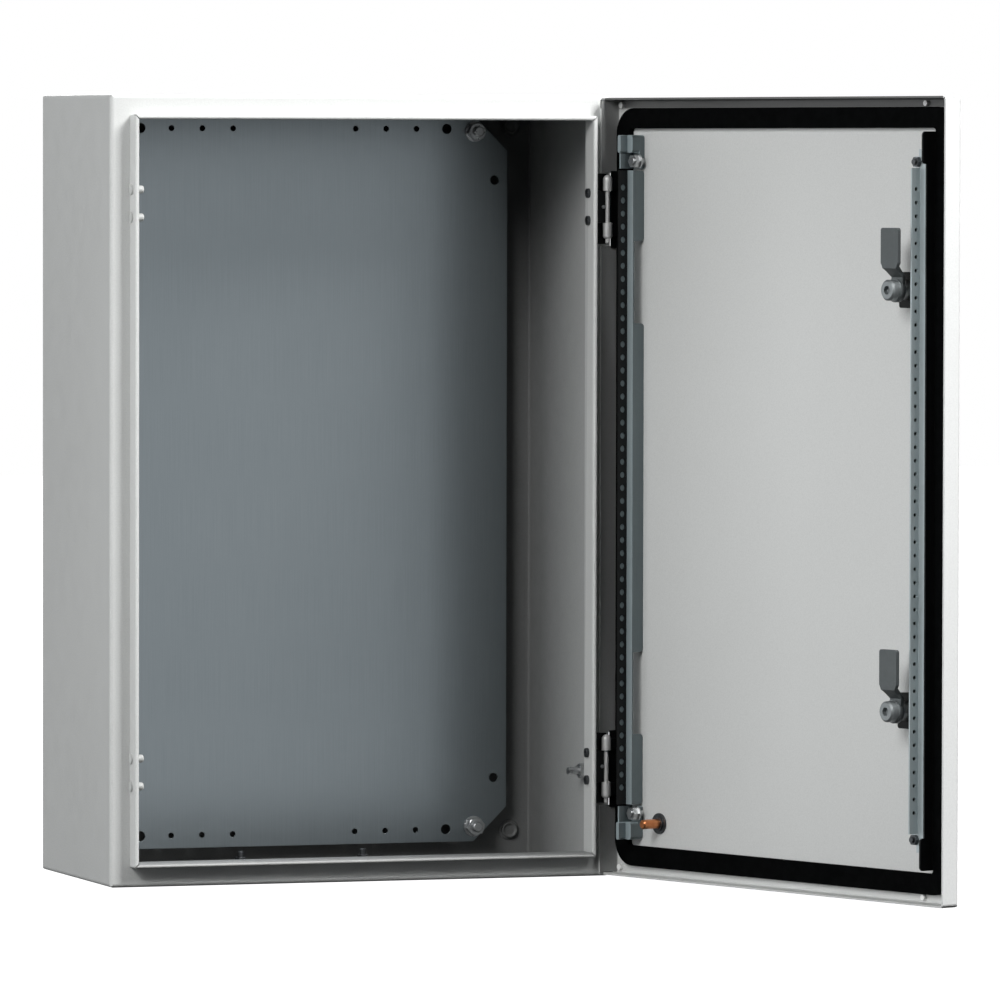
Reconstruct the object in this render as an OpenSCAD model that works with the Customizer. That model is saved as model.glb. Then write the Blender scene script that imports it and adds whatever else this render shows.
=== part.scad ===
// Steel wall enclosure with a hinged door, drawn with the door standing open.
// X runs left to right, Y from the front to the wall, Z up. The origin is on
// the wall plane, at the centre of the four wall fixing holes.

/* [Body] */
// Width of the body
body_w = 400; // [300:10:700]
// Height of the body
body_h = 600; // [500:10:900]
// Depth of the body from the wall to its front flange
body_d = 190; // [130:5:300]
// Thickness of the sheet steel
sheet = 1.5; // [1.2:0.1:2]
// Outer radius of the folded edges
bend_r = 3; // [2.5:0.1:3.5]
// Height of the rim that stands forward of the flange
rim_h = 14; // [14:0.5:15.5]
// Thickness of the folded rim
rim_t = 3.6; // [3:0.1:3.8]
// Diameter of the wall fixing holes
wall_hole_d = 8.5; // [6:0.5:10]

/* [Mounting plate] */
// Distance from the wall to the front of the mounting plate
plate_y = 15; // [14:1:60]
// Thickness of the mounting plate
plate_t = 2; // [1.5:0.5:3]
// Leg of the cut corners of the mounting plate
plate_cut = 27; // [20:1:34]

/* [Door] */
// Angle by which the door stands open
door_open = 110; // [0:5:130]
// Angle of the two lock cams, 0 up and 90 locked
cam_turn = 0; // [0:5:90]
// Width of the foam gasket
gasket_w = 15.6; // [12:0.2:15.8]
// Height of the foam gasket
gasket_h = 4.2; // [3:0.1:4.2]
// Pitch of the holes in the door rails
rail_pitch = 10; // [8:0.5:15]

/* [Hinges and locks] */
// Height of the hinges above and below the middle
hinge_z = 215; // [180:1:215]
// Diameter of the hinge pins
pin_d = 3.6; // [3:0.1:4]
// Radial play between hinge pin and lug
pin_play = 0.05; // [0.02:0.01:0.1]
// Height of the locks above and below the middle
lock_z = 155.5; // [120:0.5:160]
// Distance from the latch edge of the body to the lock axis
lock_in = 51; // [49:1:60]

/* [Hidden] */
$fn = 48;

hx = body_w / 2;
hz = body_h / 2;
fy = -body_d;                 // flange plane
rx = hx - 15.3;               // outer half width of the rim
rz = hz - 15.3;               // outer half height of the rim
ox = rx - rim_t;              // half width of the opening
oz = rz - rim_t;              // half height of the opening
rim_y = fy - rim_h;           // front of the rim
door_y0 = fy - 20;            // outer face of the door
door_yi = door_y0 + sheet;    // inner face of the door
door_xl = -(hx - 1.5);        // latch edge of the door
door_xr = hx - 2.5;           // hinge edge of the door
door_hz = hz - 1.5;           // half height of the door
ret_y = fy - 4;               // free edge of the door returns
ret_yh = fy - 1;              // free edge of the hinge side return
ax = hx - 5;                  // hinge axis
ay = fy - 6.5;
gx = hx - 16.4;               // centre line of the gasket
gxh = gx + 2.4;               // centre line of its run beside the hinges
gz = hz - 17.1;
px = hx - 25;                 // half size of the mounting plate
pz = hz - 15;
sx = hx - 52;                 // studs of the mounting plate
sz = hz - 27;
wx = hx - 18;                 // wall fixing holes
wz = hz - 22.5;
lx = -(hx - lock_in);         // lock axis
rail_t = 1.2;
hr = hx - 34.4;               // latch-facing side of the hinge rail
lr = -(hx - 27.5);            // latch-facing side of the latch rail
rail_z = hz - 57;             // half length of the rails
end_z = hz - 30;              // ends of brackets and guard

// ---- helpers -------------------------------------------------------------
module rrect(x0, y0, x1, y1, r) {
    translate([x0 + r, y0]) square([x1 - x0 - 2 * r, y1 - y0]);
    translate([x0, y0 + r]) square([x1 - x0, y1 - y0 - 2 * r]);
    for (x = [x0 + r, x1 - r], y = [y0 + r, y1 - r])
        translate([x, y]) circle(r = r);
}
// box given by its corners
module bx(x0, x1, y0, y1, z0, z1) {
    translate([x0, y0, z0]) cube([x1 - x0, y1 - y0, z1 - z0]);
}
// outline in X and Z, extruded from y0 to y1
module along_y(y0, y1) {
    translate([0, y1, 0]) rotate([90, 0, 0]) linear_extrude(y1 - y0) children();
}
// outline in Y and Z, extruded from x0 to x1
module along_x(x0, x1) {
    translate([x0, 0, 0]) rotate([90, 0, 90]) linear_extrude(x1 - x0) children();
}
// box with every edge rounded
module rbox(x0, x1, y0, y1, z0, z1, r) {
    intersection() {
        along_y(y0, y1) rrect(x0, z0, x1, z1, r);
        along_x(x0 - 1, x1 + 1) rrect(y0, z0, y1, z1, r);
        translate([0, 0, z0 - 1]) linear_extrude(z1 - z0 + 2) rrect(x0, y0, x1, y1, r);
    }
}
module ycyl(x, z, y0, y1, r) {
    translate([x, y1, z]) rotate([90, 0, 0]) cylinder(r = r, h = y1 - y0);
}
module ycone(x, z, y0, y1, r0, r1) {
    translate([x, y0, z]) rotate([-90, 0, 0]) cylinder(r1 = r0, r2 = r1, h = y1 - y0);
}
module xcyl(y, z, x0, x1, r) {
    translate([x0, y, z]) rotate([0, 90, 0]) cylinder(r = r, h = x1 - x0);
}
module yhex(x, z, y0, y1, af, turn = 0) {
    translate([x, y1, z]) rotate([90, 0, 0]) rotate([0, 0, turn])
        cylinder(r = af / sqrt(3), h = y1 - y0, $fn = 6);
}
module xhex(y, z, x0, x1, af) {
    translate([x0, y, z]) rotate([0, 90, 0]) cylinder(r = af / sqrt(3), h = x1 - x0, $fn = 6);
}
// places a door part, drawn closed, at the angle of the open door
module on_door() {
    translate([ax, ay, 0]) rotate([0, 0, door_open]) translate([-ax, -ay, 0]) children();
}
// turns a cam part about the lock axis
module turned(zl) {
    on_door() translate([lx, 0, zl]) rotate([0, -cam_turn, 0]) children();
}
function dy(h) = door_yi + h; // distance h above the inner face of the door

// ---- body ----------------------------------------------------------------
module rim() {
    difference() {
        union() {
            difference() {
                along_y(rim_y + rim_t / 2, fy + 6) rrect(-rx, -rz, rx, rz, rim_t / 2);
                bx(-ox, ox, rim_y - 1, fy + 7, -oz, oz);
                // the outer fold ends at the flange
                difference() {
                    bx(-rx - 1, rx + 1, fy + sheet, fy + 7, -rz - 1, rz + 1);
                    bx(-ox - 1.5, ox + 1.5, fy, fy + 8, -oz - 1.5, oz + 1.5);
                }
            }
            for (s = [-1, 1]) {
                translate([s * (rx - rim_t / 2), rim_y + rim_t / 2, -(rz - rim_t / 2)])
                    cylinder(r = rim_t / 2, h = 2 * rz - rim_t);
                xcyl(rim_y + rim_t / 2, s * (rz - rim_t / 2), -(rx - rim_t / 2), rx - rim_t / 2, rim_t / 2);
                for (t = [-1, 1]) translate([s * (rx - rim_t / 2), rim_y + rim_t / 2, t * (rz - rim_t / 2)])
                    sphere(r = rim_t / 2);
            }
        }
        // open mitres at the corners of the rim
        for (s = [-1, 1], t = [-1, 1])
            translate([s * (ox + rim_t / 2), rim_y - 1, t * (oz + rim_t / 2)]) rotate([0, -s * t * 45, 0])
                translate([-8, 0, -0.35]) cube([16, 6, 0.7]);
        // holes for the hinge screws and, on the other side, the plugs
        for (z0 = [-hinge_z, hinge_z], d = [-10.5, 10.5]) {
            xcyl(fy - 3.2, z0 + d, ox - 1, rx + 1, 2.01);
            xcyl(fy - 4.5, z0 + d + 2.5, -rx - 1, -ox + 1, 2.6);
        }
    }
}
module body_wrapper() {
    color("gainsboro") {
        difference() {
            rbox(-hx, hx, fy, 0, -hz, hz, bend_r);
            rbox(-hx + sheet, hx - sheet, fy + sheet, -sheet, -hz + sheet, hz - sheet, bend_r - sheet);
            bx(-ox - 1, ox + 1, fy - 1, fy + sheet + 1, -oz - 1, oz + 1);
            bx(-hx + 5, hx - 5, -sheet - 1, 1, -hz + 5, hz - 5);
            // opening for the gland plate
            bx(-hx + 80, hx - 80, fy + 39, -44, -hz - 1, -hz + 3);
            for (x = [-1, 1], y = [fy + 30, -36])
                translate([x * hx / 4, y, -hz - 1]) cylinder(r = 2.6, h = 5);
        }
        rim();
    }
}
module rear_panel() {
    color("gainsboro") difference() {
        union() {
            bx(-hx + 5, hx - 5, -sheet, 0, -hz + 5, hz - 5);
            for (s = [-1, 1], t = [-1, 1]) {
                ycone(s * wx, t * wz, -sheet - 1.3, -sheet, 7.2, 8.2);
            }
        }
        for (s = [-1, 1], t = [-1, 1]) ycyl(s * wx, t * wz, -5, 1, wall_hole_d / 2);
    }
}
module plate_holes() {
    for (t = [-1, 1]) {
        for (x = [50, 75, 100]) for (s = [-1, 1])
            ycyl(s * x * hx / 200, t * (pz - 10), -plate_y - 1, 0, 2.25);
        for (s = [-1, 1]) {
            ycyl(s * (hx - 75), t * (pz - 10), -plate_y - 1, 0, 3.9);
            ycyl(s * (hx - 35.5), t * (pz - 50), -plate_y - 1, 0, 3.6);
            ycyl(s * sx, t * sz, -plate_y - 1, 0, 4.5);
        }
    }
}
module mounting_plate() {
    c = plate_cut;
    q = 4;
    k = q * tan(22.5);
    color("lightslategray") difference() {
        along_y(-plate_y, -plate_y + plate_t) union() {
            polygon([[-px + c, -pz], [px - c, -pz], [px, -pz + c], [px, pz - c],
                [px - c, pz], [-px + c, pz], [-px, pz - c], [-px, -pz + c]]);
        }
        plate_holes();
    }
}
module plate_studs() {
    color("silver") for (s = [-1, 1], t = [-1, 1]) {
        ycyl(s * sx, t * sz, -plate_y - 12, -sheet, 4);
        ycone(s * sx, t * sz, -plate_y - 12.8, -plate_y - 12, 3.2, 4);
    }
}
module plate_spacers() {
    color("silver") for (s = [-1, 1], t = [-1, 1]) difference() {
        ycyl(s * sx, t * sz, -plate_y + plate_t, -sheet, 7);
        ycyl(s * sx, t * sz, -plate_y, 0, 4.05);
    }
}
module plate_washers() {
    color("silver") for (s = [-1, 1], t = [-1, 1]) difference() {
        ycyl(s * sx, t * sz, -plate_y - 1.6, -plate_y, 8);
        ycyl(s * sx, t * sz, -plate_y - 3, 0, 4.05);
    }
}
module plate_nuts() {
    color("silver") for (s = [-1, 1], t = [-1, 1]) difference() {
        intersection() {
            yhex(s * sx, t * sz, -plate_y - 8.1, -plate_y - 1.6, 13, 12);
            union() {
                ycyl(s * sx, t * sz, -plate_y - 7.1, -plate_y - 1.6, 8);
                ycone(s * sx, t * sz, -plate_y - 8.1, -plate_y - 7.1, 6.4, 8);
            }
        }
        ycyl(s * sx, t * sz, -plate_y - 9, 0, 4.05);
    }
}
module gland_outline(grow, r) {
    rrect(-hx + 80 - grow, fy + 39 - grow, hx - 80 + grow, -44 + grow, r);
}
module gland_bores(r) {
    for (x = [-1, 1], y = [fy + 30, -36])
        translate([x * hx / 4, y, -hz - 1]) cylinder(r = r, h = 8);
}
module gland_gasket() {
    color("dimgray") difference() {
        translate([0, 0, -hz + sheet]) linear_extrude(1.5) gland_outline(15, 5);
        translate([0, 0, -hz]) linear_extrude(5) gland_outline(0, 2);
        gland_bores(3);
    }
}
module gland_plate() {
    color("gainsboro") difference() {
        translate([0, 0, -hz + sheet + 1.5]) linear_extrude(sheet) gland_outline(15, 5);
        gland_bores(2.6);
    }
}
module gland_screws() {
    color("silver") for (x = [-1, 1], y = [fy + 30, -36]) translate([x * hx / 4, y, 0]) {
        // screw from below, its nut inside
        translate([0, 0, -hz - 1.2]) cylinder(r1 = 3.6, r2 = 4.6, h = 1.2);
        h = y < -80 ? 11.5 : 12.4;
        translate([0, 0, -hz]) cylinder(r = 2.5, h = h);
        translate([0, 0, -hz + h]) cylinder(r1 = 2.5, r2 = 1.8, h = 0.8);
        difference() {
            translate([0, 0, -hz + 2 * sheet + 1.5]) cylinder(r = 4.6, h = 4, $fn = 6);
            translate([0, 0, -hz]) cylinder(r = 2.5, h = 9);
        }
    }
}
module body_earth_stud() {
    color("silver") {
        xcyl(fy + 51, -hz + 78, hx - sheet - 15, hx - sheet, 3);
    }
}
module body_earth_nut() {
    color("silver") difference() {
        union() {
            xcyl(fy + 51, -hz + 78, hx - sheet - 1.2, hx - sheet, 6);
            xhex(fy + 51, -hz + 78, hx - sheet - 6.2, hx - sheet - 1.2, 10);
        }
        xcyl(fy + 51, -hz + 78, hx - sheet - 7, hx, 3.02);
    }
}

// ---- hinges --------------------------------------------------------------
module hinge_saddles() {
    color("black") for (z0 = [-hinge_z, hinge_z]) difference() {
        union() {
            // block behind the pin, and a base plate on the flange
            bx(rx, ax + 1.8, fy - 6.3, fy, z0 - 12, z0 + 12);
            bx(rx, ax + 1.8, fy - 1.2, fy, z0 - 28.5, z0 + 25.5);
            intersection() {
                translate([ax, ay, z0 - 12]) cylinder(r = 3.6, h = 24);
                bx(ax - 5, ax + 5, fy - 6.3, fy, z0 - 13, z0 + 13);
            }
        }
        // seat of the pin
        translate([ax, ay, z0 - 14]) cylinder(r = pin_d / 2 + 0.01, h = 28);
        // holes of the fixing screws
        for (d = [-10.5, 10.5]) xcyl(fy - 3.2, z0 + d, rx - 1, ax - 4, 2.01);
        ycyl(ax - 3.5, z0, fy - 8, fy - 3, 1.42);
    }
}
module hinge_dowels() {
    color("silver") for (z0 = [-hinge_z, hinge_z]) {
        ycyl(ax - 3.5, z0, fy - 7.6, fy - 3, 1.4);
    }
}
module hinge_pins() {
    color("silver") for (z0 = [-hinge_z, hinge_z]) translate([ax, ay, 0]) {
        translate([0, 0, z0 - 27.5]) cylinder(r = pin_d / 2, h = 47.5);
        translate([0, 0, z0 - 28.5]) cylinder(r1 = pin_d / 2 - 0.8, r2 = pin_d / 2, h = 1);
    }
}
module hinge_screws() {
    color("dimgray") for (z0 = [-hinge_z, hinge_z], d = [-10.5, 10.5]) {
        xcyl(fy - 3.2, z0 + d, ox, ax - 4.5, 2);
        difference() {
            xcyl(fy - 3.2, z0 + d, ox - 2.2, ox, 3.6);
            xhex(fy - 3.2, z0 + d, ox - 3, ox - 1, 2.5);
        }
    }
}
module rim_plugs() {
    color("gainsboro") for (z0 = [-hinge_z, hinge_z], d = [-10.5, 10.5]) {
        xcyl(fy - 4.5, z0 + d + 2.5, -rx - 0.1, -ox, 2.58);
        xcyl(fy - 4.5, z0 + d + 2.5, -rx - 1.1, -rx, 4);
        xcyl(fy - 4.5, z0 + d + 2.5, -ox, -ox + 4.6, 3);
        translate([-ox + 4.6, fy - 4.5, z0 + d + 2.5]) rotate([0, 90, 0]) cylinder(r1 = 3, r2 = 2.2, h = 1);
    }
}

// ---- door ----------------------------------------------------------------
module door_panel() {
    s = sheet;
    color("gainsboro") on_door() difference() {
        intersection() {
            rbox(door_xl, door_xr, door_y0, fy + 12, -door_hz, door_hz, bend_r);
            bx(door_xl - 1, door_xr + 1, door_y0 - 1, ret_yh, -door_hz - 1, door_hz + 1);
        }
        rbox(door_xl + s, door_xr - s, door_yi, fy + 14, -door_hz + s, door_hz - s, bend_r - s);
        // the other three returns are lower than the one on the hinge side
        bx(door_xl - 2, door_xr - s - 0.6, ret_y, fy + 2, -door_hz - 2, door_hz + 2);
        // room for the hinges
        for (z0 = [-hinge_z, hinge_z])
            bx(door_xr - 6, door_xr + 1, fy - 14, fy + 1, z0 - 30, z0 + 26);
        // open mitres where the returns meet
        for (x = [door_xl, door_xr], t = [-1, 1])
            translate([x, 0, t * door_hz]) rotate([0, 45, 0])
                translate([x * t > 0 ? -0.3 : -5, door_yi + 4, x * t > 0 ? -5 : -0.3])
                    cube([x * t > 0 ? 0.6 : 10, 30, x * t > 0 ? 10 : 0.6]);
        // holes of the locks
        for (z = [-lock_z, lock_z]) ycyl(lx, z, door_y0 - 1, door_yi + 1, 10.1);
    }
}
module door_gasket() {
    g = gasket_w / 2;
    color("black") on_door() difference() {
        along_y(door_yi, dy(gasket_h)) union() {
            rrect(-gx - g, -gz - g, 0, gz + g, 15);
            rrect(-40, -gz - g, gxh + g, gz + g, 20);
        }
        along_y(door_yi - 1, dy(gasket_h) + 1) rrect(-gx + g, -gz + g, gxh - g, gz - g, 2.5);
    }
}
module hinge_lugs() {
    lr0 = 3.7;
    color("silver") on_door() for (z0 = [-hinge_z, hinge_z]) translate([ax, ay, z0]) {
        difference() {
            union() {
                translate([0, 0, 12.3]) cylinder(r = lr0, h = 8.6);
                translate([0, 0, 20.9]) intersection() {
                    sphere(r = lr0);
                    cylinder(r = 5, h = 5);
                }
            }
            translate([0, 0, 12]) cylinder(r = pin_d / 2 + pin_play, h = 8.3);
        }
        difference() {
            union() {
                translate([0, 0, -22.6]) cylinder(r = lr0, h = 10.3);
                translate([0, 0, -24.2]) cylinder(r1 = 2.8, r2 = lr0, h = 1.6);
            }
            translate([0, 0, -25]) cylinder(r = pin_d / 2 + pin_play, h = 14);
        }
    }
}
module hinge_brackets() {
    color("black") on_door() for (z0 = [-hinge_z, hinge_z]) {
        difference() {
            intersection() {
                union() {
                    // plate on the return, wider beside the lugs than between them
                    bx(door_xr - sheet - 1.2, door_xr - sheet, door_yi, ay - 4, z0 - 31.5, z0 + 27.5);
                    for (a = [[12.4, 27.5], [-31.5, -12.4]])
                        bx(door_xr - sheet - 1.2, door_xr - sheet, door_yi, ay - 2.7, z0 + a[0], z0 + a[1]);
                    // foot on the door
                    bx(gxh + gasket_w / 2 + 0.3, door_xr - sheet, door_yi, dy(1.5), z0 - 31.5, z0 + 27.5);
                    // arms that carry the lugs
                    for (a = [[13, 21.5], [-22.5, -13]]) {
                        bx(gxh + gasket_w / 2 + 0.3, door_xr - sheet, door_yi, ay, z0 + a[0], z0 + a[1]);
                        bx(ax - 2.8, door_xr - sheet, dy(4.8), ay, z0 + a[0], z0 + a[1]);
                    }
                }
                // follows the bend of the door
                translate([0, 0, z0 - 40]) linear_extrude(80)
                    rrect(door_xl + sheet, door_yi, door_xr - sheet, fy + 12, bend_r - sheet);
            }
            translate([ax, ay, z0 - 40]) cylinder(r = 3.72, h = 80);
        }
    }
}
// one rail: latch-facing leg, ledge and perforated leg
module rail(x, legs, z1, zp, off, holes) {
    difference() {
        union() {
            for (l = legs) rail_leg(x, l[0], l[1]);
            bx(x, x + off + rail_t, dy(11 - rail_t), dy(11), -z1, z1);
            bx(x + off, x + off + rail_t, dy(11 - rail_t), dy(holes ? 19 : 18.2), -zp, zp);
        }
        if (holes) rail_holes(x + off, 14.6, 1.5);
    }
}
module rail_holes(x, h, r) {
    n = floor((2 * rail_z - 12) / rail_pitch / 2);
    for (i = [-n:n]) xcyl(dy(h), i * rail_pitch, x - 1, x + rail_t + 1, r);
}
module rail_leg(x, z0, z1) {
    along_x(x, x + rail_t) union() {
        rrect(dy(0), z0, dy(9), z1, 3);
        translate([dy(4), z0 + 0]) square([7 - rail_t / 2, z1 - z0]);
    }
}
module hinge_rail() {
    color("lightslategray") on_door()
        rail(hr, [[rail_z - 54, rail_z], [-126, 126], [-rail_z, -rail_z + 54]], rail_z, rail_z, 7.4, false);
}
// perforated strip on the leg of the hinge rail
module hinge_rail_guard() {
    color("black") on_door() difference() {
        union() {
            bx(hr + 6.6, hr + 7.4, dy(11), dy(19), -rail_z, rail_z);
            // lip over the edge of the leg
            bx(hr + 6.6, hr + 7.4 + rail_t, dy(18.2), dy(19), -rail_z, rail_z);
        }
        rail_holes(hr + 6.6, 15.2, 2.4);
    }
}
module latch_rail() {
    le = end_z - 10.5;
    color("lightslategray") on_door() difference() {
        union() {
            rail(lr, [[-rail_z, rail_z]], le, le, 6.2, true);
            // feet under the nuts
            for (t = [-1, 1]) bx(lr + 1, lr + 12.4, dy(11 - rail_t), dy(11),
                t * (rail_z + 7) - 4, t * (rail_z + 7) + 4);
        }
        for (t = [-1, 1]) ycyl(lr + 8.2, t * (rail_z + 7), dy(2), dy(25), 2.05);
        // the perforated leg stops short of the nuts
        for (t = [-1, 1]) bx(lr + 4, lr + 13, dy(11), dy(20),
            t > 0 ? rail_z + 2.6 : -end_z, t > 0 ? end_z : -rail_z - 2.6);
    }
}
module rail_end_brackets() {
    color("lightslategray") on_door() for (t = [-1, 1]) difference() {
        z0 = rail_z + 1;
        mirror([0, 0, t < 0 ? 1 : 0]) union() {
            // low hump with the nut on it
            along_y(dy(0), dy(5)) rrect(hr - 0.4, z0, hr + 7, end_z, 2.5);
            along_y(dy(4), dy(12)) rrect(hr - 0.4, z0 + 12.5, hr + 7, end_z, 2.5);
            // high hump
            along_y(dy(0), dy(18.8)) rrect(hr + 5.8, z0 + 12.5, hr + 9.2, end_z, 1.6);
            // wall beside the nut
            bx(hr + 7.8, hr + 9.2, dy(0), dy(17), z0 + 0.4, z0 + 14);
        }
        ycyl(hr + 1.6, t * (rail_z + 7), dy(-1), dy(15), 3.05);
    }
}
module hinge_rail_studs() {
    color("silver") on_door() for (t = [-1, 1])
        ycyl(hr + 1.6, t * (rail_z + 7), door_yi, dy(12), 3);
}
module hinge_rail_nuts() {
    color("silver") on_door() for (t = [-1, 1]) difference() {
        union() {
            ycyl(hr + 1.6, t * (rail_z + 7), dy(5), dy(6.2), 5.9);
            yhex(hr + 1.6, t * (rail_z + 7), dy(6.2), dy(10.6), 9);
        }
        ycyl(hr + 1.6, t * (rail_z + 7), dy(4), dy(15), 3.02);
    }
}
module latch_rail_studs() {
    color("silver") on_door() for (t = [-1, 1])
        ycyl(lr + 8.2, t * (rail_z + 7), door_yi, dy(16), 2);
}
module latch_rail_nuts() {
    color("silver") on_door() for (t = [-1, 1]) difference() {
        yhex(lr + 8.2, t * (rail_z + 7), dy(11), dy(14.2), 7);
        ycyl(lr + 8.2, t * (rail_z + 7), dy(5), dy(15), 2.02);
    }
}
module latch_guard() {
    ge = end_z + 2.5;
    color("black") on_door() {
        bx(lr - 1.5, lr, door_yi, dy(11), -ge + 18, ge - 18);
        for (t = [-1, 1]) mirror([0, 0, t < 0 ? 1 : 0])
            along_x(lr - 1.5, lr) rrect(door_yi, ge - 24, dy(15), ge, 3);
    }
}
module corner_plugs() {
    color("silver") on_door() for (t = [-1, 1]) {
        ycyl(hx - 8.8, t * (hz - 7.1), door_yi, dy(2.6), 2.3);
        ycyl(-(hx - 38), t * (hz - 6.7), door_yi, dy(2.6), 2.1);
    }
}
module door_earth_stud() {
    color("peru") on_door() {
        ycyl(hx - 55, -(hz - 43.2), door_yi, dy(16.6), 3.6);
        ycone(hx - 55, -(hz - 43.2), dy(16.6), dy(17.6), 3.6, 2.7);
    }
}
module door_earth_washer() {
    color("dimgray") on_door() difference() {
        union() {
            ycyl(hx - 55, -(hz - 43.2), door_yi, dy(1.2), 8);
            ycyl(hx - 55, -(hz - 43.2), dy(1.2), dy(2.6), 5.6);
        }
        ycyl(hx - 55, -(hz - 43.2), door_yi - 1, dy(4), 3.62);
    }
}

// ---- locks ---------------------------------------------------------------
module lock_housings() {
    color("black") on_door() for (z = [-lock_z, lock_z]) difference() {
        union() {
            ycone(lx, z, door_y0 - 2.2, door_y0 - 1.4, 13, 13.8);
            ycyl(lx, z, door_y0 - 1.4, door_y0 - 0.6, 13.8);
            ycyl(lx, z, door_y0 - 1, door_yi + 1, 10);
            along_y(door_yi, dy(8)) rrect(lx - 9, z - 13.3, lx + 9, z + 13.3, 2);
        }
        ycyl(lx, z, door_y0 - 5, dy(12), 7.3);
    }
}
module lock_seals() {
    color("dimgray") on_door() for (z = [-lock_z, lock_z]) difference() {
        ycyl(lx, z, door_y0 - 0.6, door_y0, 13.2);
        ycyl(lx, z, door_y0 - 2, door_y0 + 2, 10.05);
    }
}
module spindle(zl) {
    color("silver") turned(zl) difference() {
        union() {
            ycyl(0, 0, door_y0 - 1.9, dy(17), 7.25);
            bx(-4, 4, dy(17), dy(19.9), -4, 4);
        }
        // socket for the key, with its pin and two bits
        difference() {
            ycyl(0, 0, door_y0 - 3, door_y0 + 7, 5.2);
            ycyl(0, 0, door_y0 - 3, door_y0 + 8, 1.5);
            bx(-1.2, 1.2, door_y0 - 0.5, door_y0 + 8, 3.6, 6);
            bx(-1.2, 1.2, door_y0 - 0.5, door_y0 + 8, -6, -3.6);
        }
        ycyl(0, 0, dy(6), dy(21), 3.02);
    }
}
module cam(zl) {
    color("slategray") turned(zl) difference() {
        intersection() {
            // plan
            along_y(dy(16), dy(30)) union() {
                circle(r = 9);
                rrect(-8, 0, 4, 19, 3);
                rrect(-12, 18.5, 7, 46, 2);
                polygon([[-8, 4], [4, 4], [3.4, 13], [7, 20.5], [-12, 20.5], [-8.4, 13]]);
            }
            // crank
            along_x(-20, 20) polygon([[dy(17), -10], [dy(17), 11], [dy(25), 17.6], [dy(25), 47],
                [dy(28), 47], [dy(28), 16.2], [dy(20), 9.6], [dy(20), -10]]);
        }
        bx(-4.02, 4.02, dy(10), dy(24), -4.02, 4.02);
    }
}
module cam_washer(zl) {
    color("silver") turned(zl) difference() {
        ycyl(0, 0, dy(20), dy(21.2), 8.2);
        ycyl(0, 0, dy(19), dy(22), 3.05);
    }
}
module cam_bolt(zl) {
    color("silver") turned(zl) difference() {
        union() {
            ycyl(0, 0, dy(8), dy(21.5), 3);
            ycyl(0, 0, dy(21.2), dy(26.6), 7.8);
            ycone(0, 0, dy(26.6), dy(28), 7.8, 6.4);
        }
        yhex(0, 0, dy(24.5), dy(30), 6);
    }
}
module upper_spindle() { spindle(lock_z); }
module upper_cam() { cam(lock_z); }
module upper_cam_washer() { cam_washer(lock_z); }
module upper_cam_bolt() { cam_bolt(lock_z); }
module lower_spindle() { spindle(-lock_z); }
module lower_cam() { cam(-lock_z); }
module lower_cam_washer() { cam_washer(-lock_z); }
module lower_cam_bolt() { cam_bolt(-lock_z); }

body_wrapper();
rear_panel();
mounting_plate();
plate_studs();
plate_spacers();
plate_washers();
plate_nuts();
gland_plate();
gland_gasket();
gland_screws();
body_earth_stud();
body_earth_nut();
hinge_saddles();
hinge_pins();
hinge_screws();
hinge_dowels();
rim_plugs();
door_panel();
door_gasket();
hinge_lugs();
hinge_brackets();
hinge_rail();
hinge_rail_guard();
latch_rail();
rail_end_brackets();
hinge_rail_studs();
hinge_rail_nuts();
latch_rail_studs();
latch_rail_nuts();
latch_guard();
corner_plugs();
door_earth_stud();
door_earth_washer();
lock_housings();
lock_seals();
upper_spindle();
upper_cam();
upper_cam_washer();
upper_cam_bolt();
lower_spindle();
lower_cam();
lower_cam_washer();
lower_cam_bolt();
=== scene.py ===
import math
import random

import bmesh
import bpy
from mathutils import Matrix, Vector


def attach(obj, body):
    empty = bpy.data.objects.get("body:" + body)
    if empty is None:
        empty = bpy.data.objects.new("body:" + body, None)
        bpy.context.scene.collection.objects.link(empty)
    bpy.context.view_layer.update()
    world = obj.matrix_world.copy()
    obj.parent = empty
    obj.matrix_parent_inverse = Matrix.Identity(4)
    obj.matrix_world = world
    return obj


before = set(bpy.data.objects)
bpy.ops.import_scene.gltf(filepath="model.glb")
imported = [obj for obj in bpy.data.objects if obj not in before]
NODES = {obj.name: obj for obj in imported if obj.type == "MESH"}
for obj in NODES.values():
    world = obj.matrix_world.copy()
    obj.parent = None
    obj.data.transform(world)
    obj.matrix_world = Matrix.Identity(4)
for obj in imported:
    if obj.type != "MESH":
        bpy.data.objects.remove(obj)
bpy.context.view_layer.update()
scene = bpy.context.scene

OPEN = math.radians(110.0)          # the door stands open by this angle at rest
AX, AY = 0.195, -0.1965             # hinge axis
DOOR_YI = -0.2085                   # inner face of the door, door closed
REAR_YI = -0.0028                   # raised seats around the wall fixing holes
LEG_X = -0.16508                    # back of the perforated leg of the latch rail


def on_door(x, h, z):
    """A point given for the closed door, h above its inner face, where it is at rest."""
    dx, dy = x - AX, DOOR_YI + h - AY
    c, s = math.cos(OPEN), math.sin(OPEN)
    return Vector((AX + c * dx - s * dy, AY + s * dx + c * dy, z))


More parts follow.
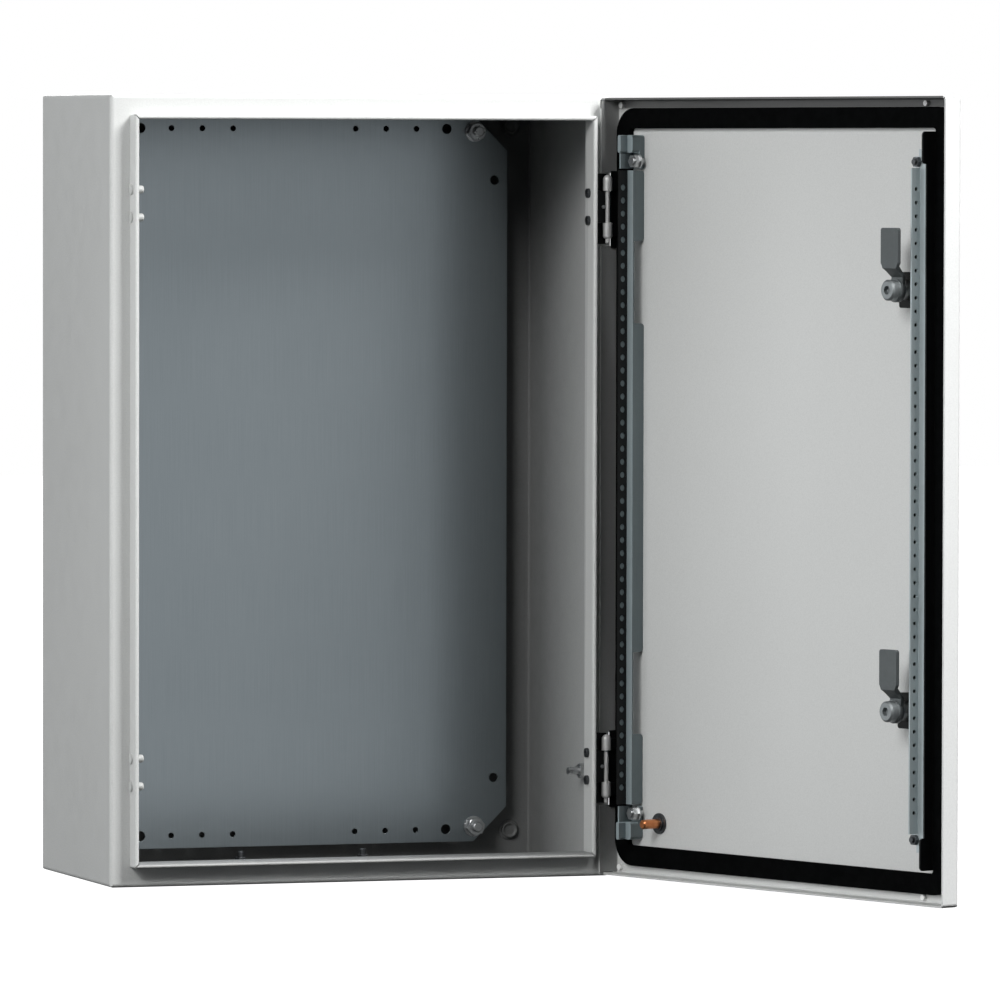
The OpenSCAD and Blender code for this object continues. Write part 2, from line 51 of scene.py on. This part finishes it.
# ---------------------------------------------------------------- camera
cam_data = bpy.data.cameras.new("camera")
cam = bpy.data.objects.new("camera", cam_data)
scene.collection.objects.link(cam)
YAW, PITCH, ROLL = math.radians(18.66), math.radians(2.18), -0.0020
fwd = Vector((math.sin(YAW) * math.cos(PITCH), math.cos(YAW) * math.cos(PITCH), -math.sin(PITCH)))
right0 = Vector((math.cos(YAW), -math.sin(YAW), 0.0))
up0 = right0.cross(fwd)
right = math.cos(ROLL) * right0 - math.sin(ROLL) * up0
up = math.sin(ROLL) * right0 + math.cos(ROLL) * up0
rot = Matrix((right, up, -fwd)).transposed().to_4x4()
cam.matrix_world = Matrix.Translation((-2.0915, -6.7104, 0.2525)) @ rot
cam_data.sensor_width = 36.0
cam_data.sensor_fit = "HORIZONTAL"
cam_data.lens = 8991.7 / 1000.0 * 36.0
cam_data.clip_start = 0.1
cam_data.clip_end = 100.0
scene.camera = cam

# ---------------------------------------------------------------- lights
scene.view_settings.view_transform = "Standard"
scene.view_settings.look = "None"
scene.view_settings.exposure = 0.0
scene.view_settings.gamma = 1.0

AMBIENT = 0.030
CARD = 0.78
world = bpy.data.worlds.new("studio")
scene.world = world
world.use_nodes = True
wn = world.node_tree
wn.nodes.clear()
w_out = wn.nodes.new("ShaderNodeOutputWorld")
w_amb = wn.nodes.new("ShaderNodeBackground")
w_amb.inputs["Color"].default_value = (0.96, 0.98, 1.0, 1)
w_amb.inputs["Strength"].default_value = AMBIENT
w_bg = wn.nodes.new("ShaderNodeBackground")
w_bg.inputs["Color"].default_value = (1, 1, 1, 1)
w_bg.inputs["Strength"].default_value = 1.0
w_lp = wn.nodes.new("ShaderNodeLightPath")
w_mix = wn.nodes.new("ShaderNodeMixShader")
wn.links.new(w_lp.outputs["Is Camera Ray"], w_mix.inputs[0])
wn.links.new(w_amb.outputs[0], w_mix.inputs[1])
wn.links.new(w_bg.outputs[0], w_mix.inputs[2])
wn.links.new(w_mix.outputs[0], w_out.inputs["Surface"])


def area(name, azimuth, elevation, distance, size, energy, color=(1, 1, 1), target=(0, -0.2, 0)):
    """A soft box seen from the target at that azimuth, 0 in front and 90 to the right."""
    data = bpy.data.lights.new(name, "AREA")
    data.shape = "RECTANGLE"
    data.size, data.size_y = size
    data.energy = energy
    data.color = color
    ob = bpy.data.objects.new(name, data)
    scene.collection.objects.link(ob)
    a, e = math.radians(azimuth), math.radians(elevation)
    d = Vector((math.sin(a) * math.cos(e), -math.cos(a) * math.cos(e), math.sin(e)))
    ob.location = Vector(target) + d * distance
    ob.rotation_euler = (-d).to_track_quat("-Z", "Y").to_euler()
    ob.visible_camera = False
    return ob


LIGHTS = [
    ("key", 36, 42, 3.2, (1.3, 1.3), 148.0, (1.0, 1.0, 1.0), (0, -0.2, 0)),
    ("left_side", -97, 3, 3.0, (1.4, 2.2), 31.0, (0.97, 0.985, 1.0), (0, -0.2, 0)),
    ("left_front", -64, 6, 3.2, (1.0, 1.8), 4.0, (0.97, 0.985, 1.0), (0.15, -0.3, 0)),
    ("left_high", -48, 30, 3.2, (1.2, 1.2), 54.0, (1.0, 1.0, 1.0), (0.1, -0.3, 0)),
    ("back_fill", 165, 28, 3.5, (1.6, 1.6), 60.0, (1.0, 1.0, 1.0), (0, -0.2, 0)),
]
for light in LIGHTS:
    area(*light[:6], color=light[6], target=light[7])

# a soft spot on the inside of the door
sd = bpy.data.lights.new("door_spot", "SPOT")
sd.energy = 44.0
sd.spot_size = math.radians(18.0)
sd.spot_blend = 0.55
sd.shadow_soft_size = 0.22
spot = bpy.data.objects.new("door_spot", sd)
scene.collection.objects.link(spot)
spot.location = (-2.0, -1.4, 0.45)
aim = Vector((0.27, -0.39, -0.06)) - Vector(spot.location)
spot.rotation_euler = aim.to_track_quat("-Z", "Y").to_euler()
spot.visible_camera = False

# ---------------------------------------------------------------- materials
def new_mat(name):
    m = bpy.data.materials.new(name)
    m.use_nodes = True
    nt = m.node_tree
    nt.nodes.clear()
    out = nt.nodes.new("ShaderNodeOutputMaterial")
    bsdf = nt.nodes.new("ShaderNodeBsdfPrincipled")
    nt.links.new(bsdf.outputs[0], out.inputs["Surface"])
    return m, nt, bsdf


def coords(nt):
    return nt.nodes.new("ShaderNodeTexCoord").outputs["Object"]


def noise(nt, co, scale, detail=4.0, rough=0.5, stretch=None):
    if stretch:
        mp = nt.nodes.new("ShaderNodeMapping")
        mp.inputs["Scale"].default_value = stretch
        nt.links.new(co, mp.inputs["Vector"])
        co = mp.outputs["Vector"]
    n = nt.nodes.new("ShaderNodeTexNoise")
    n.inputs["Scale"].default_value = scale
    n.inputs["Detail"].default_value = detail
    n.inputs["Roughness"].default_value = rough
    nt.links.new(co, n.inputs["Vector"])
    return n.outputs["Fac"]


def ramp(nt, fac, stops):
    r = nt.nodes.new("ShaderNodeValToRGB")
    el = r.color_ramp.elements
    while len(el) < len(stops):
        el.new(0.5)
    for e, (p, c) in zip(el, stops):
        e.position = p
        e.color = c if len(c) == 4 else (*c, 1)
    nt.links.new(fac, r.inputs["Fac"])
    return r.outputs["Color"]


def maprange(nt, fac, lo, hi, a=0.3, b=0.7):
    r = nt.nodes.new("ShaderNodeMapRange")
    r.inputs["From Min"].default_value = a
    r.inputs["From Max"].default_value = b
    r.inputs["To Min"].default_value = lo
    r.inputs["To Max"].default_value = hi
    nt.links.new(fac, r.inputs["Value"])
    return r.outputs["Result"]


def bump(nt, bsdf, height, strength, distance, chain=None):
    b = nt.nodes.new("ShaderNodeBump")
    b.inputs["Strength"].default_value = strength
    b.inputs["Distance"].default_value = distance
    nt.links.new(height, b.inputs["Height"])
    if chain is not None:
        nt.links.new(chain, b.inputs["Normal"])
    nt.links.new(b.outputs["Normal"], bsdf.inputs["Normal"])
    return b.outputs["Normal"]


def mixc(nt, fac, a, b, mode="MIX"):
    m = nt.nodes.new("ShaderNodeMix")
    m.data_type = "RGBA"
    m.blend_type = mode
    if isinstance(fac, float):
        m.inputs[0].default_value = fac
    else:
        nt.links.new(fac, m.inputs[0])
    for v, i in ((a, 6), (b, 7)):
        if isinstance(v, tuple):
            m.inputs[i].default_value = v if len(v) == 4 else (*v, 1)
        else:
            nt.links.new(v, m.inputs[i])
    return m.outputs[2]


def soft_edge(nt, radius):
    """Rounds the shading of sharp edges, as folding, blanking and coating do."""
    b = nt.nodes.new("ShaderNodeBevel")
    b.samples = 4
    b.inputs["Radius"].default_value = radius
    return b.outputs["Normal"]


def powder_coat(name, base, dark, shade_depth=None, shade_top=None):
    """Fine textured powder coat: orange peel, slight cloudiness and roughness change.

    shade_depth: (y at the front, y at the back, factor at the back), painted shade that darkens
    the colour deeper inside the box. shade_top: the same in the height, painted shade in the recess
    between the gasket and the upper edge of the door."""
    m, nt, b = new_mat(name)
    co = coords(nt)
    cloud = noise(nt, co, 3.5, 3)
    fine = noise(nt, co, 900, 2, 0.6)
    col = ramp(nt, cloud, [(0.30, dark), (0.70, base)])
    speck = ramp(nt, fine, [(0.30, (0.93, 0.93, 0.93)), (0.62, (1, 1, 1))])
    col = mixc(nt, 1.0, col, speck, "MULTIPLY")
    # painted shade: the colour darkens deeper inside the box, and in the recess above the door gasket
    if shade_depth:
        sep = nt.nodes.new("ShaderNodeSeparateXYZ")
        nt.links.new(co, sep.inputs[0])
        k = shade_depth[2]
        fall = ramp(nt, maprange(nt, sep.outputs["Y"], 0.0, 1.0, shade_depth[0], shade_depth[1]),
                    [(0.0, (1, 1, 1)), (1.0, (k, k, k))])
        col = mixc(nt, 1.0, col, fall, "MULTIPLY")
    if shade_top:
        sep = nt.nodes.new("ShaderNodeSeparateXYZ")
        nt.links.new(co, sep.inputs[0])
        k = shade_top[2]
        fall = ramp(nt, maprange(nt, sep.outputs["Z"], 0.0, 1.0, shade_top[0], shade_top[1]),
                    [(0.0, (1, 1, 1)), (1.0, (k, k, k))])
        col = mixc(nt, 1.0, col, fall, "MULTIPLY")
    nt.links.new(col, b.inputs["Base Color"])
    nt.links.new(maprange(nt, noise(nt, co, 60, 3), 0.36, 0.48), b.inputs["Roughness"])
    b.inputs["Specular IOR Level"].default_value = 0.42
    peel = noise(nt, co, 420, 2, 0.45)
    n1 = bump(nt, b, peel, 0.22, 0.0004, soft_edge(nt, 0.0006))
    n2 = bump(nt, b, noise(nt, co, 1600, 1, 0.5), 0.10, 0.0002, n1)
    # very slight waviness of thin sheet
    bump(nt, b, noise(nt, co, 9, 1, 0.3), 0.05, 0.004, n2)
    return m


def galvanised(name, base, dark, metallic=0.75, rough=(0.42, 0.60), spangle=70, contrast=0.10):
    """Zinc coated sheet: soft spangle, faint drawn streaks and dull blotches."""
    m, nt, b = new_mat(name)
    co = coords(nt)
    v = nt.nodes.new("ShaderNodeTexVoronoi")
    v.inputs["Scale"].default_value = spangle
    wob = nt.nodes.new("ShaderNodeTexNoise")
    wob.inputs["Scale"].default_value = 40
    nt.links.new(co, wob.inputs["Vector"])
    nt.links.new(mixc(nt, 0.02, co, wob.outputs["Color"], "LINEAR_LIGHT"), v.inputs["Vector"])
    cell = v.outputs["Color"]
    sep = nt.nodes.new("ShaderNodeSeparateColor")
    nt.links.new(cell, sep.inputs[0])
    blot = noise(nt, co, 7, 5, 0.55)
    col = ramp(nt, blot, [(0.28, dark), (0.72, base)])
    col = mixc(nt, contrast, col, ramp(nt, sep.outputs[0], [(0.0, (0.75, 0.77, 0.78)), (1.0, (1.15, 1.16, 1.17))]), "MULTIPLY")
    drawn = noise(nt, co, 1.0, 3, 0.6, (1400, 1400, 16))
    col = mixc(nt, 0.35, col, ramp(nt, drawn, [(0.35, (0.88, 0.88, 0.88)), (0.65, (1.05, 1.05, 1.05))]), "MULTIPLY")
    nt.links.new(col, b.inputs["Base Color"])
    b.inputs["Metallic"].default_value = metallic
    r = maprange(nt, sep.outputs[1], rough[0], rough[1], 0.0, 1.0)
    nt.links.new(r, b.inputs["Roughness"])
    n1 = bump(nt, b, drawn, 0.05, 0.0003, soft_edge(nt, 0.0004))
    bump(nt, b, noise(nt, co, 240, 3, 0.5), 0.06, 0.0004, n1)
    return m


def plated(name, base, dark, rough=(0.25, 0.42), metallic=1.0):
    """Zinc plated fittings: handled, slightly dull in places, fine scratches."""
    m, nt, b = new_mat(name)
    co = coords(nt)
    blot = noise(nt, co, 160, 4, 0.6)
    nt.links.new(ramp(nt, blot, [(0.30, dark), (0.68, base)]), b.inputs["Base Color"])
    b.inputs["Metallic"].default_value = metallic
    nt.links.new(maprange(nt, noise(nt, co, 350, 3), rough[0], rough[1]), b.inputs["Roughness"])
    n1 = bump(nt, b, noise(nt, co, 1200, 2, 0.6), 0.08, 0.0002, soft_edge(nt, 0.0003))
    bump(nt, b, noise(nt, co, 1.0, 2, 0.5, (2600, 2600, 120)), 0.06, 0.0002, n1)
    return m


def plastic(name, base, lift, rough=(0.38, 0.5), grain=1500):
    m, nt, b = new_mat(name)
    co = coords(nt)
    nt.links.new(ramp(nt, noise(nt, co, 90, 3), [(0.3, base), (0.75, lift)]), b.inputs["Base Color"])
    nt.links.new(maprange(nt, noise(nt, co, 240, 2), rough[0], rough[1]), b.inputs["Roughness"])
    n1 = bump(nt, b, noise(nt, co, grain, 2, 0.5), 0.18, 0.0002, soft_edge(nt, 0.0004))
    bump(nt, b, noise(nt, co, 60, 1, 0.5), 0.05, 0.0006, n1)
    return m


def foam(name, base, lift):
    """Foamed-in-place seal: a closed skin with fine pores and a gently uneven run."""
    m, nt, b = new_mat(name)
    co = coords(nt)
    nt.links.new(ramp(nt, noise(nt, co, 130, 4), [(0.3, base), (0.75, lift)]), b.inputs["Base Color"])
    nt.links.new(maprange(nt, noise(nt, co, 300, 2), 0.5, 0.68), b.inputs["Roughness"])
    b.inputs["Specular IOR Level"].default_value = 0.012
    v = nt.nodes.new("ShaderNodeTexVoronoi")
    v.inputs["Scale"].default_value = 1400
    nt.links.new(co, v.inputs["Vector"])
    n1 = bump(nt, b, v.outputs["Distance"], 0.25, 0.0003, soft_edge(nt, 0.0014))
    bump(nt, b, noise(nt, co, 45, 2, 0.5), 0.25, 0.001, n1)
    return m


PAINT = powder_coat("paint_light_grey", (0.640, 0.650, 0.640), (0.615, 0.625, 0.615))
# painted shade: the door paint darkens in the recess between the gasket and the upper edge of the door
DOOR = powder_coat("paint_door", (0.640, 0.650, 0.640), (0.615, 0.625, 0.615), None, (0.2895, 0.2912, 0.22))
# painted highlight: a lighter copy of the door paint for the return on the latch side
DOOR_EDGE_LIT = powder_coat("paint_door_edge_lit", (0.735, 0.745, 0.740), (0.715, 0.725, 0.720))
# painted shade: a darker copy of the paint for the upward faces of the lower rim
LIP_SHADE = powder_coat("paint_lip_shade", (0.250, 0.255, 0.252), (0.225, 0.230, 0.228))
# painted shade: a darker copy of the paint for the inside of the door's return beside the hinges
RECESS_SHADE = powder_coat("paint_recess_shade", (0.262, 0.266, 0.264), (0.240, 0.244, 0.242))
# painted shade: a darker copy of the body paint for the inside of the box, darkening towards the back
INSIDE_SHADE = powder_coat("paint_inside_shade", (0.560, 0.570, 0.565), (0.520, 0.530, 0.525), (-0.19, -0.03, 0.30))
PLATE = galvanised("plate_zinc", (0.272, 0.302, 0.318), (0.258, 0.288, 0.304), 1.0, (0.305, 0.315), 160, 0.02)
RAIL = galvanised("rail_zinc", (0.42, 0.49, 0.51), (0.36, 0.43, 0.45), 0.5, (0.42, 0.50), 240, 0.05)
# painted shade: a darker copy of the rail zinc for faces that look towards the latch
RAIL_SIDE_SHADE = galvanised("rail_zinc_shaded", (0.165, 0.198, 0.207), (0.138, 0.168, 0.176), 0.5, (0.42, 0.50), 240, 0.05)
RAIL_LATCH = galvanised("rail_zinc_pale", (0.50, 0.56, 0.575), (0.43, 0.49, 0.505), 0.5, (0.42, 0.50), 240, 0.05)
CAM = galvanised("cam_zinc", (0.118, 0.130, 0.132), (0.085, 0.095, 0.098), 0.55, (0.44, 0.52), 260, 0.08)
BOLT = galvanised("bolt_dull", (0.30, 0.32, 0.325), (0.22, 0.24, 0.245), 0.7, (0.42, 0.52), 300, 0.08)
ZINC = plated("fitting_zinc", (0.62, 0.63, 0.63), (0.45, 0.46, 0.47))
DULL = plated("fitting_dull", (0.13, 0.135, 0.14), (0.07, 0.075, 0.08), (0.42, 0.55))
LUG = plated("lug_cast", (0.66, 0.66, 0.65), (0.56, 0.56, 0.56), (0.42, 0.55), 0.35)
COPPER = plated("stud_copper", (0.80, 0.33, 0.14), (0.62, 0.22, 0.09), (0.28, 0.4))
BLACK = plastic("plastic_black", (0.0025, 0.003, 0.0032), (0.005, 0.0055, 0.006))
BLACK.node_tree.nodes["Principled BSDF"].inputs["Specular IOR Level"].default_value = 0.22
GREYP = plastic("plastic_grey", (0.50, 0.51, 0.50), (0.57, 0.58, 0.57))
WHITEP = plastic("plastic_white", (0.84, 0.84, 0.83), (0.90, 0.90, 0.89))
PLUG = plastic("plug_grey", (0.115, 0.118, 0.116), (0.145, 0.148, 0.146), (0.52, 0.62))
FOAM = foam("foam_black", (0.0014, 0.0016, 0.0017), (0.0030, 0.0033, 0.0035))

LOOK = {
    PAINT: ["body_wrapper", "rear_panel", "gland_plate"],
    DOOR: ["door_panel"],
    GREYP: ["rim_plugs"],
    WHITEP: ["corner_plugs"],
    PLATE: ["mounting_plate"],
    RAIL: ["hinge_rail", "rail_end_brackets"],
    RAIL_LATCH: ["latch_rail"],
    CAM: ["upper_cam", "lower_cam"],
    ZINC: ["plate_studs", "plate_spacers", "plate_washers", "plate_nuts", "body_earth_stud",
           "body_earth_nut", "hinge_dowels", "hinge_rail_studs", "hinge_rail_nuts",
           "upper_spindle", "lower_spindle"],
    DULL: ["hinge_screws", "gland_screws", "latch_rail_studs", "latch_rail_nuts", "door_earth_washer"],
    LUG: ["hinge_lugs", "hinge_pins"],
    BOLT: ["upper_cam_washer", "lower_cam_washer", "upper_cam_bolt", "lower_cam_bolt"],
    COPPER: ["door_earth_stud"],
    # painted shade: hinge_rail_guard and latch_guard are black covers along the rails that stand in for the shade
    # there
    BLACK: ["hinge_saddles", "hinge_brackets", "hinge_rail_guard", "latch_guard", "lock_housings"],
    FOAM: ["door_gasket", "gland_gasket", "lock_seals"],
}
for mat, names in LOOK.items():
    for n in names:
        ob = NODES[n]
        ob.data.materials.clear()
        ob.data.materials.append(mat)
        for poly in ob.data.polygons:
            poly.material_index = 0

# painted shade: faces of the body that look into the box get a darker copy of the paint, darker still further back
for name in ("body_wrapper", "rear_panel", "gland_plate"):
    ob = NODES[name]
    ob.data.materials.append(INSIDE_SHADE)
    mw = ob.matrix_world
    nm = mw.to_3x3()
    for poly in ob.data.polygons:
        c = mw @ poly.center
        n = nm @ poly.normal
        inside = abs(c.x) < 0.1992 and abs(c.z) < 0.2992 and -0.1886 < c.y < -0.0012
        toward = n.x * -c.x > 0.02 * abs(c.x) or n.z * -c.z > 0.02 * abs(c.z) or n.y < -0.5
        if inside and toward and not (abs(n.y) > 0.5 and c.y < -0.05):
            poly.material_index = 1

INSIDE_SHADE.node_tree.nodes["Principled BSDF"].inputs["Specular IOR Level"].default_value = 0.12

# faces of the door: the inside of the return beside the hinges, which lies in a recess, gets a darker copy of the
# paint as painted shade; the return on the latch side gets a lighter copy as painted highlight
ob = NODES["door_panel"]
ob.data.materials.append(RECESS_SHADE)
ob.data.materials.append(DOOR_EDGE_LIT)
ob.data.materials.append(PAINT)
outward = -(on_door(0.0, 1.0, 0.0) - on_door(0.0, 0.0, 0.0)).normalized()
inward = (on_door(-1.0, 0.0, 0.0) - on_door(0.0, 0.0, 0.0)).normalized()
for poly in ob.data.polygons:
    n = (ob.matrix_world.to_3x3() @ poly.normal).normalized()
    c = ob.matrix_world @ poly.center
    near = (c - on_door(0.196, 0.008, c.z)).length < 0.012
    latch = (c - on_door(-0.1965, 0.006, c.z)).length < 0.011
    if near and n.dot(inward) > 0.6:
        poly.material_index = 1
    elif latch and n.dot(inward) > -0.9:
        poly.material_index = 2
    elif n.dot(outward) > 0.03 or n.dot(inward) < -0.5 or (abs(n.z) > 0.5 and abs(c.z) > 0.2978):
        poly.material_index = 3

# painted shade: the lower part of the rim, looking up into the shade of the opening, gets a darker copy of the
# paint on its upward faces
ob = NODES["body_wrapper"]
ob.data.materials.append(LIP_SHADE)
for poly in ob.data.polygons:
    n = (ob.matrix_world.to_3x3() @ poly.normal).normalized()
    c = ob.matrix_world @ poly.center
    if n.z > 0.25 and -0.288 < c.z < -0.270 and c.y < -0.1875:
        poly.material_index = 2

# painted shade: faces of the hinge rail and its end brackets that look towards the latch get a darker copy of the
# zinc
for name in ("hinge_rail", "rail_end_brackets"):
    ob = NODES[name]
    ob.data.materials.append(RAIL_SIDE_SHADE)
    for poly in ob.data.polygons:
        n = (ob.matrix_world.to_3x3() @ poly.normal).normalized()
        if abs(n.dot(inward)) > 0.75:
            poly.material_index = 1

# ---------------------------------------------------------------- plugs
def lathe(name, profile, origin, axis, mat, body, sides=40):
    """A turned piece: profile is a list of (radius, height along the axis)."""
    z = Vector(axis).normalized()
    x = z.orthogonal().normalized()
    y = z.cross(x)
    bm = bmesh.new()
    rings = []
    for r, h in profile:
        if r == 0:
            rings.append([bm.verts.new(Vector(origin) + z * h)])
        else:
            rings.append([bm.verts.new(Vector(origin) + z * h + (x * math.cos(a) + y * math.sin(a)) * r)
                          for a in (2 * math.pi * i / sides for i in range(sides))])
    for lo, hi in zip(rings, rings[1:]):
        for i in range(sides):
            j = (i + 1) % sides
            if len(lo) == 1:
                bm.faces.new((lo[0], hi[j], hi[i]))
            elif len(hi) == 1:
                bm.faces.new((lo[i], lo[j], hi[0]))
            else:
                bm.faces.new((lo[i], lo[j], hi[j], hi[i]))
    bmesh.ops.recalc_face_normals(bm, faces=bm.faces)
    me = bpy.data.meshes.new(name)
    bm.to_mesh(me)
    bm.free()
    me.polygons.foreach_set("use_smooth", [True] * len(me.polygons))
    me.materials.append(mat)
    ob = bpy.data.objects.new(name, me)
    scene.collection.objects.link(ob)
    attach(ob, body)
    return ob


# blanking plugs in the four wall fixing holes: a flat brim, a raised ring and a dished middle
BRIM = [(0.0, -0.0010), (0.0034, -0.0010), (0.0038, -0.0006), (0.0039, 0.0000), (0.0040, 0.0002),
        (0.0062, 0.0002), (0.0066, 0.0006), (0.0065, 0.0012), (0.0060, 0.0019), (0.0053, 0.0021),
        (0.0047, 0.0017), (0.0042, 0.0010), (0.0030, 0.0009), (0.0012, 0.0012), (0.0, 0.0013)]
for n, (sx, sz) in enumerate(((-1, -1), (1, -1), (-1, 1), (1, 1))):
    lathe("wall_hole_plug_%d" % (n + 1), BRIM, (sx * 0.182, REAR_YI, sz * 0.2775), (0, -1, 0), PLUG, "enclosure")


def strip(name, x0, x1, h0, h1, z0, z1, mat, notch):
    """A thin edge strip on the door with small teeth along one side."""
    bm = bmesh.new()
    k = int(round((z1 - z0) / notch))
    step = (z1 - z0) / k
    left, right = [], []
    for i in range(k + 1):
        z = z0 + i * step
        a, b = [], []
        for x in (x0, x1):
            a.append(bm.verts.new(on_door(x, h0, z)))
            b.append(bm.verts.new(on_door(x, h1 - (0.0004 if i % 2 else 0.0), z)))
        left.append(a)
        right.append(b)
    for i in range(k):
        for s_ in (left, right):
            bm.faces.new((s_[i][0], s_[i][1], s_[i + 1][1], s_[i + 1][0]))
        for e in (0, 1):
            bm.faces.new((left[i][e], right[i][e], right[i + 1][e], left[i + 1][e]))
    for i in (0, k):
        bm.faces.new((left[i][0], left[i][1], right[i][1], right[i][0]))
    bmesh.ops.recalc_face_normals(bm, faces=bm.faces)
    me = bpy.data.meshes.new(name)
    bm.to_mesh(me)
    bm.free()
    me.materials.append(mat)
    ob = bpy.data.objects.new(name, me)
    scene.collection.objects.link(ob)
    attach(ob, "door")
    return ob


# painted shade: a dark strip behind the perforated leg of the latch rail darkens the view through its holes
strip("latch_rail_shade_backing", LEG_X, LEG_X + 0.0005, 0.0122, 0.0172, -0.2435, 0.2435, BLACK, 0.0025)

# ---------------------------------------------------------------- card
def card(name, az, el, dist, w, h, strength):
    """A pale board seen only in reflections."""
    m, nt, b = new_mat(name)
    b.inputs["Base Color"].default_value = (0, 0, 0, 1)
    b.inputs["Specular IOR Level"].default_value = 0.0
    b.inputs["Emission Color"].default_value = (0.95, 0.98, 1.0, 1)
    b.inputs["Emission Strength"].default_value = strength
    a, e = math.radians(az), math.radians(el)
    d = Vector((math.sin(a) * math.cos(e), -math.cos(a) * math.cos(e), math.sin(e)))
    q = (-d).to_track_quat("-Z", "Y").to_matrix()
    c0 = Vector((0, -0.2, 0)) + d * dist
    me = bpy.data.meshes.new(name)
    me.from_pydata([c0 + q @ Vector(v) for v in ((-w / 2, -h / 2, 0), (w / 2, -h / 2, 0), (w / 2, h / 2, 0), (-w / 2, h / 2, 0))],
                   [], [(0, 1, 2, 3)])
    me.materials.append(m)
    ob = bpy.data.objects.new(name, me)
    scene.collection.objects.link(ob)
    ob.visible_camera = False
    ob.visible_diffuse = False
    ob.visible_shadow = False
    return ob


card("card_front", 18.7, -2.2, 5.0, 3.6, 4.4, CARD)

# ---------------------------------------------------------------- floor
def plane(name, size, z, mat):
    me = bpy.data.meshes.new(name)
    s = size / 2
    me.from_pydata([(-s, -s, z), (s, -s, z), (s, s, z), (-s, s, z)], [], [(0, 1, 2, 3)])
    ob = bpy.data.objects.new(name, me)
    scene.collection.objects.link(ob)
    me.materials.append(mat)
    return ob


fm, fnt, fb = new_mat("floor_pale")
fb.inputs["Base Color"].default_value = (0.9, 0.9, 0.9, 1)
fb.inputs["Roughness"].default_value = 0.9
fb.inputs["Emission Color"].default_value = (1, 1, 1, 1)
fb.inputs["Emission Strength"].default_value = 1.15
floor = plane("floor", 60.0, -1.1, fm)
floor.visible_diffuse = False
floor.visible_glossy = False
